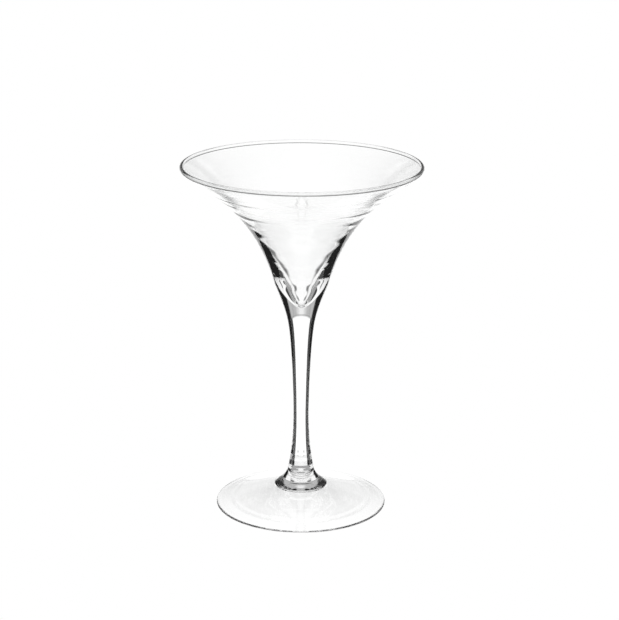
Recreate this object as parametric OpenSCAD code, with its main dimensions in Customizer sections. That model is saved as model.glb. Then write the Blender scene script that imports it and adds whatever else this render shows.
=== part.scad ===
// Stemmed martini glass of clear colourless glass, standing on z = 0.
// Four gathers of glass, fused hot one on top of the other: foot, collar, stem and bowl.
// Every piece is turned about the Z axis from an outline of [radius, height] points.

/* [Overall] */
// Height from the table to the top of the lip
glass_h = 180; // [170:1:200]

/* [Bowl] */
// Diameter across the outside of the lip
rim_d = 122.4; // [112:0.2:128]
// Thickness of the rounded lip
lip_t = 2.1; // [1.7:0.1:2.4]
// Thickness of the wall at the lip
wall_t = 1.1; // [0.9:0.05:1.5]
// Thickness of the wall at the shoulder
shoulder_wall_t = 5.1; // [4.2:0.1:5.6]
// Height of the shoulder where the flare leaves the solid bottom
shoulder_z = 119; // [117:0.1:122]
// Diameter at that shoulder
shoulder_d = 27.6; // [25:0.1:30]
// Height of the lowest point of the hollow
hollow_z = 107.2; // [105:0.1:109]

/* [Stem] */
// Height of the joint between stem and bowl
throat_z = 98; // [94:0.5:100]
// Diameter of that joint
throat_d = 13.7; // [12:0.1:15]
// Height of the thinnest place
waist_z = 49; // [42:1:58]
// Diameter at the thinnest place
waist_d = 7.9; // [7:0.1:10]

/* [Collar] */
// Height of the joint between collar and stem
collar_top_z = 17.5; // [16:0.1:20]
// Diameter of that joint
collar_top_d = 13.9; // [12:0.1:16]
// Diameter across the collar's edge
collar_d = 27.2; // [25:0.1:30]
// Height of the rounded edge of the collar
collar_edge_t = 1.1; // [0.8:0.1:1.6]

/* [Foot] */
// Diameter of the foot
foot_d = 88; // [82:0.2:94]
// Thickness of the foot at its edge
foot_edge_t = 1; // [0.8:0.1:1.4]
// Height of the seat where the collar joins the foot
seat_z = 9.7; // [9.4:0.1:10.2]
// Thickness of the foot under the collar
foot_mid_t = 3; // [2.6:0.1:3.8]
// Width of the ring that touches the table
stand_w = 0.8; // [0.6:0.1:1.6]

/* [Hidden] */
$fn = 180;
steps = 24;
clear_glass = [0.90, 0.94, 0.95, 0.45];

// How much the radius grows for each unit of height, at each named place
rim_slope = 1.12;
shoulder_slope = 0.28;
hollow_top_slope = 0.55;
throat_slope = 0.19;
stem_foot_slope = -0.23;
collar_top_slope = -0.55;
collar_slope = -1.6;
seat_slope = -4.1;
foot_slope = -4.5;
dish_edge_slope = -4.0;

// How far a curve holds its slope as it leaves or nears each named place
rim_reach = 14.2;
flare_reach = 41;
shoulder_reach = 3.7;
throat_reach = 9.9;
hollow_reach = 2.3;
hollow_top_reach = 5.8;
stem_throat_reach = 12;
waist_high_reach = 5;
waist_low_reach = 17;
stem_foot_reach = 3.8;
collar_top_reach = 3.9;
collar_reach = 4.9;
seat_reach = 9.9;
foot_reach = 8.6;
dish_reach = 8.6;
dish_edge_reach = 11.8;

// How fast the wall thins from the shoulder to the lip
thinning = 6.1;
// How far the foot's seat stands out past the collar
seat_gap = 0.2;

throat = [throat_d / 2, throat_z];
shoulder = [shoulder_d / 2, shoulder_z];
waist = [waist_d / 2, waist_z];
collar_top = [collar_top_d / 2, collar_top_z];

lip_r = lip_t / 2;
lip_centre = [rim_d / 2 - lip_r, glass_h - lip_r];
hollow = [0, hollow_z];
collar_edge_r = collar_edge_t / 2;
collar_edge = [collar_d / 2 - collar_edge_r, seat_z + collar_edge_r];
foot_edge_r = foot_edge_t / 2;
foot_edge = [foot_d / 2 - foot_edge_r, foot_edge_r];
seat = [collar_d / 2 + seat_gap, seat_z];
stand = [foot_edge[0] - stand_w, 0];
dish = [0, seat_z - foot_mid_t];

// A step of this length along a line of this slope
function ahead(slope, reach) = reach / norm([slope, 1]) * [slope, 1];

// The angle, from the radius axis, of the outward normal of a line of this slope
function normal_angle(slope) = atan2(-slope, 1);

// The point of a circle at an angle
function on_circle(centre, r, angle) = centre + r * [cos(angle), sin(angle)];

// Points round a circle, from one angle to another
function arc(centre, r, from, to, n) =
    [for (i = [0 : n]) on_circle(centre, r, from + (to - from) * i / n)];

// The four handles of a curve from p up to q
function handles(p, p_slope, p_reach, q, q_slope, q_reach) =
    [p, p + ahead(p_slope, p_reach), q - ahead(q_slope, q_reach), q];

// The four handles of a curve that leaves p level, outwards, and comes up to q
function level_handles(p, p_reach, q, q_slope, q_reach) =
    [p, p + [p_reach, 0], q - ahead(q_slope, q_reach), q];

// The point of a curve at t, from 0 to 1
function point_at(h, t) =
    let (s = 1 - t) s * s * s * h[0] + 3 * s * s * t * h[1] + 3 * s * t * t * h[2] + t * t * t * h[3];

// The direction of a curve at t
function heading_at(h, t) =
    let (s = 1 - t, v = s * s * (h[1] - h[0]) + 2 * s * t * (h[2] - h[1]) + t * t * (h[3] - h[2]))
    v / norm(v);

// Points along a curve
function curve(h, n = steps) = [for (i = [0 : n]) point_at(h, i / n)];

// The points of a list in the other order
function back(points) = [for (i = [len(points) - 1 : -1 : 0]) points[i]];

// All points of a list but its first
function rest(points) = [for (i = [1 : 1 : len(points) - 1]) points[i]];

// The outside of the flare, from the shoulder to the lip
flare = handles(shoulder, shoulder_slope, flare_reach,
    on_circle(lip_centre, lip_r, normal_angle(rim_slope)), rim_slope, rim_reach);

// The place on the inside of the flare, a wall's thickness in from the outside
function inside_at(t) =
    let (d = heading_at(flare, t), wall = wall_t + (shoulder_wall_t - wall_t) * pow(1 - t, thinning))
    point_at(flare, t) + wall * [-d[1], d[0]];

// Where the inside meets the round lip, as an angle round the lip and as a place on the flare
lip_in_turn = acos((wall_t - lip_r) / lip_r);
lip_in_t = 1 - lip_r * sin(lip_in_turn) / (3 * rim_reach);

module turned(points) {
    rotate_extrude() polygon(points);
}

module bowl() {
    bottom = curve(handles(throat, throat_slope, throat_reach, shoulder, shoulder_slope, shoulder_reach));
    outside = curve(flare, 2 * steps);
    lip_start = normal_angle(rim_slope);
    lip = arc(lip_centre, lip_r, lip_start, lip_start + 180 + lip_in_turn, 12);
    inside = [for (i = [0 : 2 * steps - 1]) inside_at(lip_in_t * i / (2 * steps))];
    cone = curve(level_handles(hollow, hollow_reach, inside_at(0), hollow_top_slope, hollow_top_reach));
    color(clear_glass)
        turned(concat([[0, throat_z]], bottom, rest(outside), rest(lip), back(concat(cone, rest(inside)))));
}

module stem() {
    foot_end = curve(handles(collar_top, stem_foot_slope, stem_foot_reach, waist, 0, waist_low_reach));
    bowl_end = curve(handles(waist, 0, waist_high_reach, throat, throat_slope, stem_throat_reach), 2 * steps);
    color(clear_glass)
        turned(concat([[0, collar_top_z]], foot_end, rest(bowl_end), [[0, throat_z]]));
}

module collar() {
    edge_angle = normal_angle(collar_slope);
    edge = arc(collar_edge, collar_edge_r, -90, edge_angle, 8);
    flank = curve(handles(on_circle(collar_edge, collar_edge_r, edge_angle), collar_slope, collar_reach,
        collar_top, collar_top_slope, collar_top_reach));
    color(clear_glass)
        turned(concat([[0, seat_z]], edge, rest(flank), [[0, collar_top_z]]));
}

module foot() {
    edge_angle = normal_angle(foot_slope);
    underside = curve(level_handles(dish, dish_reach, stand, dish_edge_slope, -dish_edge_reach));
    edge = arc(foot_edge, foot_edge_r, -90, edge_angle, 12);
    top = curve(handles(on_circle(foot_edge, foot_edge_r, edge_angle), foot_slope, foot_reach,
        seat, seat_slope, seat_reach));
    color(clear_glass)
        turned(concat(underside, edge, rest(top), [[0, seat_z]]));
}

bowl();
stem();
collar();
foot();
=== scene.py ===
"""A martini glass of clear blown glass on a white studio floor.

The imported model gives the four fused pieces: bowl, stem, collar and foot. Each one is turned again here from
its own outline as a dense smooth surface, made slightly uneven as hot-worked glass is, and given clear glass.
"""

import math

import bpy
import numpy as np
from mathutils import Matrix, Vector


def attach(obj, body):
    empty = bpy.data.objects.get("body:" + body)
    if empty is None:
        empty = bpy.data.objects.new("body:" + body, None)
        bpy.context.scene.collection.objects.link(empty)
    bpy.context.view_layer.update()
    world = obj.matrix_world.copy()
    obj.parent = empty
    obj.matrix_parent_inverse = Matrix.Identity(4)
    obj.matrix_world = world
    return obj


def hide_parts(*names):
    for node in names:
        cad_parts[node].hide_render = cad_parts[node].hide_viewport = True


MM = 0.001

PIECES = ("bowl", "stem", "collar", "foot")

# How finely the pieces are turned
TURN_STEPS = 256
LONGEST_STEP = 0.9 * MM
SHARPEST_STEP = math.radians(4)
CORNER = math.radians(24)
SAME_PLACE = 2e-6
LEAST_TURN = 1e-3

# Glass: how much it bends light, its palest and deepest colour, the depth of its skin's unevenness, how
# polished it is, and how fine, per metre, and how detailed the noise is that varies each of these
GLASS_IOR = 1.5
CLEAREST = (1.0, 1.0, 1.0, 1)
GREENEST = (0.994, 0.998, 0.996, 1)
TINT_SCALE = 30
TINT_DETAIL = 2
SKIN_SCALE = 90
SKIN_DETAIL = 1
SKIN_DEPTH = 0.01 * MM
POLISH_SCALE = 60
POLISH_DETAIL = 3
SMOOTHEST = 0.0
ROUGHEST = 0.006

# The camera: how far from the glass's axis, how high, where it looks and how long its lens is
CAMERA_AWAY = 0.98706
CAMERA_HIGH = 0.4003
CAMERA_PITCH = math.radians(-16.70)
CAMERA_YAW = math.radians(0.239)
CAMERA_ROLL = math.radians(0.287)
CAMERA_LENS = 117.3
SENSOR = 36.0

CAMERA_REACH = 50

# The floor is a wide disc just below the foot
FLOOR_R = 9.0
FLOOR_SIDES = 64
FLOOR_DROP = 0.2 * MM

# How often light may bounce in the glass, and pass through fused joints
BOUNCES = 32
CLEAR_BOUNCES = 64

# Hot work leaves faint waves in the glass. For each piece: the height in the middle of a set of waves and how
# far they fade, their length along the height and their depth, how often they repeat round the axis, and their
# start
WAVES = {
    "bowl": [
        (166 * MM, 10 * MM, 3.1 * MM, 0.018 * MM, 1, 0.4),
        (162 * MM, 12 * MM, 4.9 * MM, 0.028 * MM, 2, 2.0),
        (146 * MM, 12 * MM, 9.0 * MM, 0.018 * MM, 1, 4.1),
        (124 * MM, 9 * MM, 7.0 * MM, 0.005 * MM, 2, 1.2),
    ],
    "stem": [
        (23 * MM, 6 * MM, 3.4 * MM, 0.02 * MM, 0, 0.5),
        (60 * MM, 25 * MM, 17 * MM, 0.02 * MM, 1, 1.0),
    ],
    "collar": [(14 * MM, 5 * MM, 2.3 * MM, 0.03 * MM, 0, 0.9)],
    "foot": [(1.6 * MM, 0.7 * MM, 0.9 * MM, 0.04 * MM, 0, 0.0)],
}
# The waves die away this close to a joint, the lip or the foot's edge
CALM = 2.5 * MM

# The studio. The glass sees the areas below and the camera sees plain white, so the areas only show as
# refraction and reflection. They were fitted to the look of the real glass from the front, and the ones at the
# sides and behind were added so that it is lit from every side.
# Where no area lights it, the studio is this bright
DARKEST = 0.015
# Areas that widen downwards start to do so at this elevation, in degrees
WIDEN_BELOW = -25
# Each light area, in degrees: the azimuth of its middle from straight behind the glass, its half width and
# how soft its sides are; how much it widens for each degree that it goes lower; its lowest and highest
# elevation, each with its softness; and how bright it is
STUDIO = [
    (0, 27.2, 2, 0.2, -55.4, 6, 0, 2, 1.1),
    (0, 30.9, 3, 0, 0, 2, 91, 1, 0.476),
    (0, 14, 22, 0, 0, 2, 8, 6, 0.9),
    (0, 12, 16, 0, 34, 12, 64, 10, 0.87),
    (0, 180, 1, 0, -84, 4, -50, 3, 0.4),
    (0, 35, 10, 0, -84, 4, -50, 3, 0.9),
    (0, 180, 1, 0, -91, 1, -80, 6, 1.0),
    (180, 92, 8, 0, -91, 1, -70, 6, 0.9),
    (180, 22, 6, 0, -56, 6, -6, 4, 1.0),
    (135, 18, 6, 0, -56, 6, -6, 4, 1.0),
    (-135, 18, 6, 0, -56, 6, -6, 4, 1.0),
    (90, 15, 4, 0, -56, 6, -6, 4, 1.0),
    (-90, 15, 4, 0, -56, 6, -6, 4, 1.0),
]

# Softly shaded places within those areas, in the same way; the last number is how much light they take away
SHADES = [
    (0, 9, 6, 0, 12, 3, 23, 5, 0.8),
    (28, 7, 3, 0, 14, 3, 28, 5, 0.92),
    (-28, 7, 3, 0, 14, 3, 28, 5, 0.92),
    (13, 3.5, 3, 0, -38, 3, -31, 3, 0.85),
    (-13, 3.5, 3, 0, -38, 3, -31, 3, 0.85),
]

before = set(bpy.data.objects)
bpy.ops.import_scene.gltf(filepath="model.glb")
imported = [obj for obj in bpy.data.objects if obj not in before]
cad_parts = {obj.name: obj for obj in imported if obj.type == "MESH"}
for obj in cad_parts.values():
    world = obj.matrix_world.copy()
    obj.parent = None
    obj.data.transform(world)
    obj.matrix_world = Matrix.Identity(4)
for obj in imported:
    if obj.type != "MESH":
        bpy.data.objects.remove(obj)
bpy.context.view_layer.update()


# ---------- outlines ----------

def seam_points(node):
    """Each point of a turned node that lies on its seam, with the points that a mesh edge joins it to."""
    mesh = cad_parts[node].data
    places = np.array([v.co for v in mesh.vertices])
    on_seam = (np.abs(places[:, 1]) < SAME_PLACE) & (places[:, 0] > -SAME_PLACE)
    keys = [tuple(k) for k in np.round(places[:, [0, 2]] / SAME_PLACE).astype(int).tolist()]
    joined = {}
    for edge in mesh.edges:
        a, b = edge.vertices
        if on_seam[a] and on_seam[b] and keys[a] != keys[b]:
            joined.setdefault(keys[a], set()).add(keys[b])
            joined.setdefault(keys[b], set()).add(keys[a])
    return joined


def chains(joined):
    """The seam's points as lists, each in order from one open end to the other."""
    found, seen = [], set()
    for start in sorted(k for k in joined if len(joined[k]) == 1):
        if start in seen:
            continue
        chain = [start]
        seen.add(start)
        while True:
            onward = [k for k in joined[chain[-1]] if k not in seen]
            if not onward:
                break
            chain.append(onward[0])
            seen.add(onward[0])
        found.append(np.array(chain) * SAME_PLACE)
    return found


def linked(parts):
    """Chains put end to end across the flat rings between them, which have no seam of their own."""
    line = parts.pop(0)
    while parts:
        gaps = []
        for i, part in enumerate(parts):
            for mine in (0, -1):
                for other in (0, -1):
                    gaps.append((abs(line[mine][1] - part[other][1]), i, mine, other))
        _, i, mine, other = min(gaps)
        part = parts.pop(i)
        head = line if mine == -1 else line[::-1]
        tail = part if other == 0 else part[::-1]
        line = np.concatenate([head, tail])
    return line


def straightened(line):
    """A line without the points that lie on a straight stretch."""
    kept = [line[0]]
    for before, here, after in zip(line, line[1:], line[2:]):
        if turn_at(before, here, after) > LEAST_TURN:
            kept.append(here)
    return np.array(kept + [line[-1]])


def turn_at(before, here, after):
    """How far a line turns at a point, as an angle."""
    a, b = here - before, after - here
    return abs(math.atan2(a[0] * b[1] - a[1] * b[0], a @ b))


def smoothed(line):
    """A fine line through the points, smooth between corners and kept within their box, and its corners."""
    inner = [i for i in range(1, len(line) - 1) if turn_at(*line[i - 1:i + 2]) > CORNER]
    ends = [0] + inner + [len(line) - 1]
    fine, corners = [line[0]], [0]
    for first, last in zip(ends, ends[1:]):
        fine += smooth_stretch(line[first:last + 1])
        corners.append(len(fine) - 1)
    return np.clip(fine, line.min(axis=0), line.max(axis=0)), corners[1:-1]


def smooth_stretch(points):
    """Points along a cubic through the given ones, after the first, with steps as short as the bend needs."""
    if len(points) == 2:
        return list(np.linspace(points[0], points[1], 3)[1:])
    gaps = np.linalg.norm(np.diff(points, axis=0), axis=1)
    slopes = np.diff(points, axis=0) / gaps[:, None]
    inner = (slopes[:-1] * gaps[1:, None] + slopes[1:] * gaps[:-1, None]) / (gaps[1:] + gaps[:-1])[:, None]
    headings = np.concatenate([[2 * slopes[0] - inner[0]], inner, [2 * slopes[-1] - inner[-1]]])
    out = []
    for i, gap in enumerate(gaps):
        bend = math.acos(np.clip(unit(headings[i]) @ unit(headings[i + 1]), -1, 1))
        count = max(1, math.ceil(bend / SHARPEST_STEP), math.ceil(gap / LONGEST_STEP))
        for t in np.arange(1, count + 1) / count:
            out.append(
                (1 + 2 * t) * (1 - t) ** 2 * points[i] + t * (1 - t) ** 2 * gap * headings[i]
                + t * t * (3 - 2 * t) * points[i + 1] + t * t * (t - 1) * gap * headings[i + 1]
            )
    return out


def unit(v):
    return v / np.linalg.norm(v)


def outline(node):
    """A turned node's fine outline of [radius, height] points, up its outside, with the corners on it."""
    line = straightened(linked(chains(seam_points(node))))
    return smoothed(line)


# ---------- turned pieces ----------

def turned_piece(node):
    """The node's dense smooth surface: bands between rings of points, and a flat disc at each open end."""
    line, corners = outline(node)
    angles = np.arange(TURN_STEPS) * 2 * math.pi / TURN_STEPS
    normals = outline_normals(line)
    calm = calmness(line)
    verts, rings = [], []
    for (radius, height), normal, still in zip(line, normals, calm):
        if radius < SAME_PLACE:
            rings.append([len(verts)])
            verts.append((0, 0, height))
        else:
            rings.append(list(range(len(verts), len(verts) + TURN_STEPS)))
            off = still * waves(node, height, angles)
            radii, heights = radius + off * normal[0], height + off * normal[1]
            verts += np.stack([radii * np.cos(angles), radii * np.sin(angles), heights], axis=1).tolist()
    faces = [f for low, high in zip(rings, rings[1:]) for f in band(low, high)]
    joints = []
    for end, flip in ((0, False), (-1, True)):
        if len(rings[end]) > 1:
            disc, centre = rings[end], len(verts)
            verts.append((0, 0, line[end][1]))
            joints += [(i, j, centre) if flip else (j, i, centre) for i, j in zip(disc, disc[1:] + disc[:1])]
    mesh = bpy.data.meshes.new(node + "_glass")
    mesh.from_pydata(verts, [], faces + joints)
    piece = bpy.data.objects.new(node + "_glass", mesh)
    bpy.context.scene.collection.objects.link(piece)
    finish_mesh(mesh, len(faces), [rings[i] for i in corners])
    return piece


def outline_normals(line):
    """The direction square to an outline at each of its points."""
    along = np.gradient(line, axis=0)
    along /= np.linalg.norm(along, axis=1)[:, None]
    return np.stack([along[:, 1], -along[:, 0]], axis=1)


def calmness(line):
    """0 at the first point's height, the widest place and the last point, growing to 1 away from them."""
    widest = line[np.argmax(line[:, 0])]
    near = np.minimum(np.abs(line[:, 1] - line[0, 1]), np.linalg.norm(line - widest, axis=1))
    near = np.minimum(near, np.linalg.norm(line - line[-1], axis=1))
    return np.clip(near / CALM, 0, 1) ** 2


def waves(node, height, angles):
    """How far the surface stands off its outline at a height, all the way round."""
    total = np.zeros(len(angles))
    for middle, spread, length, depth, lobes, start in WAVES[node]:
        fade = math.exp(-(((height - middle) / spread) ** 2))
        total += depth * fade * np.cos(2 * math.pi * height / length + lobes * angles + start)
    return total


def band(low, high):
    """The faces between two rings, either of which may be a single point on the axis."""
    if len(low) == 1 and len(high) == 1:
        return []
    if len(low) == 1:
        return [(low[0], j, i) for i, j in zip(high, high[1:] + high[:1])]
    if len(high) == 1:
        return [(i, j, high[0]) for i, j in zip(low, low[1:] + low[:1])]
    return [
        (a, b, d, c)
        for a, b, c, d in zip(low, low[1:] + low[:1], high, high[1:] + high[:1])
    ]


def finish_mesh(mesh, joint_from, corner_rings):
    """Smooth shading with sharp rings at corners and joints, outward faces, and joint faces in slot 1."""
    slots = np.zeros(len(mesh.polygons), int)
    slots[joint_from:] = 1
    mesh.polygons.foreach_set("material_index", slots)
    mesh.shade_smooth()
    sharp = set()
    for ring in corner_rings:
        sharp |= {tuple(sorted(pair)) for pair in zip(ring, ring[1:] + ring[:1])}
    edge_slots = {}
    for face in mesh.polygons:
        for key in face.edge_keys:
            edge_slots.setdefault(key, set()).add(face.material_index)
    for edge in mesh.edges:
        key = tuple(sorted(edge.vertices))
        edge.use_edge_sharp = key in sharp or len(edge_slots[key]) > 1
    if volume(mesh) < 0:
        mesh.flip_normals()
    mesh.validate()
    mesh.update()


def volume(mesh):
    """The signed volume inside a closed mesh."""
    mesh.calc_loop_triangles()
    corners = np.array([v.co for v in mesh.vertices])[[t.vertices[:] for t in mesh.loop_triangles]]
    return float(np.einsum("ij,ij->i", corners[:, 0], np.cross(corners[:, 1], corners[:, 2])).sum() / 6)


# ---------- materials ----------

def clear_glass(name, seed):
    """Clear soda-lime glass: fire-polished, with a trace of iron and the faintest orange-peel in its skin."""
    material = bpy.data.materials.new(name)
    material.use_nodes = True
    nodes, link = material.node_tree.nodes, material.node_tree.links.new
    shader = nodes["Principled BSDF"]
    shader.inputs["IOR"].default_value = GLASS_IOR
    shader.inputs["Transmission Weight"].default_value = 1.0
    place = nodes.new("ShaderNodeTexCoord").outputs["Object"]

    def noise(scale, detail):
        node = nodes.new("ShaderNodeTexNoise")
        node.noise_dimensions = "4D"
        node.inputs["W"].default_value = seed
        node.inputs["Scale"].default_value = scale
        node.inputs["Detail"].default_value = detail
        link(place, node.inputs["Vector"])
        return node.outputs["Fac"]

    tint = nodes.new("ShaderNodeValToRGB")
    tint.color_ramp.elements[0].color = CLEAREST
    tint.color_ramp.elements[1].color = GREENEST
    link(noise(TINT_SCALE, TINT_DETAIL), tint.inputs["Fac"])
    link(tint.outputs["Color"], shader.inputs["Base Color"])
    skin = nodes.new("ShaderNodeBump")
    skin.inputs["Strength"].default_value = 1.0
    skin.inputs["Distance"].default_value = SKIN_DEPTH
    link(noise(SKIN_SCALE, SKIN_DETAIL), skin.inputs["Height"])
    link(skin.outputs["Normal"], shader.inputs["Normal"])
    polish = nodes.new("ShaderNodeMapRange")
    polish.inputs["To Min"].default_value = SMOOTHEST
    polish.inputs["To Max"].default_value = ROUGHEST
    link(noise(POLISH_SCALE, POLISH_DETAIL), polish.inputs["Value"])
    link(polish.outputs["Result"], shader.inputs["Roughness"])
    return material


def fused_joint(name):
    """Where two pieces are fused there is only glass: nothing to see."""
    material = bpy.data.materials.new(name)
    material.use_nodes = True
    nodes = material.node_tree.nodes
    nodes.remove(nodes["Principled BSDF"])
    clear = nodes.new("ShaderNodeBsdfTransparent")
    material.node_tree.links.new(clear.outputs[0], nodes["Material Output"].inputs["Surface"])
    return material


# ---------- studio ----------

def studio_world():
    """Light areas and shades round the glass, near darkness between them, and plain white for the camera."""
    world = bpy.data.worlds.new("studio")
    bpy.context.scene.world = world
    world.use_nodes = True
    tree = world.node_tree
    tree.nodes.clear()
    new, link = tree.nodes.new, tree.links.new

    def math_node(kind, a, b=0.0, c=0.0):
        node = new("ShaderNodeMath")
        node.operation = kind
        for socket, value in zip(node.inputs, (a, b, c)):
            if isinstance(value, (int, float)):
                socket.default_value = value
            else:
                link(value, socket)
        return node.outputs[0]

    where = new("ShaderNodeSeparateXYZ")
    link(new("ShaderNodeTexCoord").outputs["Generated"], where.inputs[0])
    x, y, z = where.outputs
    turn = math_node("MULTIPLY", math_node("ARCTAN2", x, y), 180 / math.pi)
    rise = math_node("MULTIPLY", math_node("ARCSINE", z), 180 / math.pi)

    def step(value, edge, soft):
        """0 well below the edge and 1 well above it, or the other way where soft is negative."""
        ramp = math_node("MULTIPLY_ADD", value, 1 / soft, 0.5 - edge / soft)
        ramp.node.use_clamp = True
        return ramp

    def patch(middle, half, side_soft, widen, low, low_soft, high, high_soft, level):
        off = math_node("ABSOLUTE", math_node("WRAP", math_node("SUBTRACT", turn, middle), 180, -180))
        if widen:
            spread = math_node("MAXIMUM", math_node("MULTIPLY_ADD", rise, -widen, WIDEN_BELOW * widen), 0)
            off = math_node("SUBTRACT", off, spread)
        inside = math_node("MULTIPLY", step(off, half, -side_soft), step(rise, low, low_soft))
        inside = math_node("MULTIPLY", inside, step(rise, high, -high_soft))
        return math_node("MULTIPLY", inside, level)

    total = DARKEST
    for values in STUDIO:
        total = math_node("MAXIMUM", patch(*values), total)
    for values in SHADES:
        total = math_node("MULTIPLY", math_node("SUBTRACT", 1, patch(*values)), total)
    seen = new("ShaderNodeLightPath").outputs["Is Camera Ray"]
    colour = new("ShaderNodeMix")
    colour.data_type = "FLOAT"
    link(seen, colour.inputs["Factor"])
    link(total, colour.inputs["A"])
    colour.inputs["B"].default_value = 1.0
    background = new("ShaderNodeBackground")
    link(colour.outputs[0], background.inputs["Color"])
    link(background.outputs[0], new("ShaderNodeOutputWorld").inputs["Surface"])


def white_floor():
    """A plain white floor that only the camera sees: it isn't refracted, reflected or shadowed."""
    place = (0, 0, -FLOOR_DROP)
    bpy.ops.mesh.primitive_circle_add(vertices=FLOOR_SIDES, radius=FLOOR_R, fill_type="NGON", location=place)
    floor = bpy.context.object
    floor.name = "floor"
    material = bpy.data.materials.new("white_floor")
    material.use_nodes = True
    nodes = material.node_tree.nodes
    nodes.remove(nodes["Principled BSDF"])
    glow = nodes.new("ShaderNodeEmission")
    glow.inputs["Color"].default_value = (1, 1, 1, 1)
    material.node_tree.links.new(glow.outputs[0], nodes["Material Output"].inputs["Surface"])
    floor.data.materials.append(material)
    floor.visible_transmission = False
    floor.visible_glossy = False
    floor.visible_diffuse = False
    floor.visible_shadow = False


def camera():
    data = bpy.data.cameras.new("camera")
    data.lens = CAMERA_LENS
    data.sensor_width = SENSOR
    data.clip_end = CAMERA_REACH
    eye = bpy.data.objects.new("camera", data)
    bpy.context.scene.collection.objects.link(eye)
    eye.location = (0, -CAMERA_AWAY, CAMERA_HIGH)
    ahead = Vector((math.sin(CAMERA_YAW), math.cos(CAMERA_YAW), 0)) * math.cos(CAMERA_PITCH)
    ahead.z = math.sin(CAMERA_PITCH)
    turn = ahead.to_track_quat("-Z", "Y").to_matrix().to_4x4()
    eye.matrix_world = Matrix.Translation(eye.location) @ turn @ Matrix.Rotation(CAMERA_ROLL, 4, "Z")
    bpy.context.scene.camera = eye


def render_settings():
    scene = bpy.context.scene
    scene.view_settings.view_transform = "Standard"
    scene.cycles.max_bounces = BOUNCES
    scene.cycles.transmission_bounces = BOUNCES
    scene.cycles.glossy_bounces = BOUNCES
    scene.cycles.transparent_max_bounces = CLEAR_BOUNCES


camera()
white_floor()
studio_world()
render_settings()
joint = fused_joint("fused_joint")
for seed, node in enumerate(PIECES):
    piece = turned_piece(node)
    piece.data.materials.append(clear_glass(node + "_clear", seed))
    piece.data.materials.append(joint)
    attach(piece, "root")
    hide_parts(node)
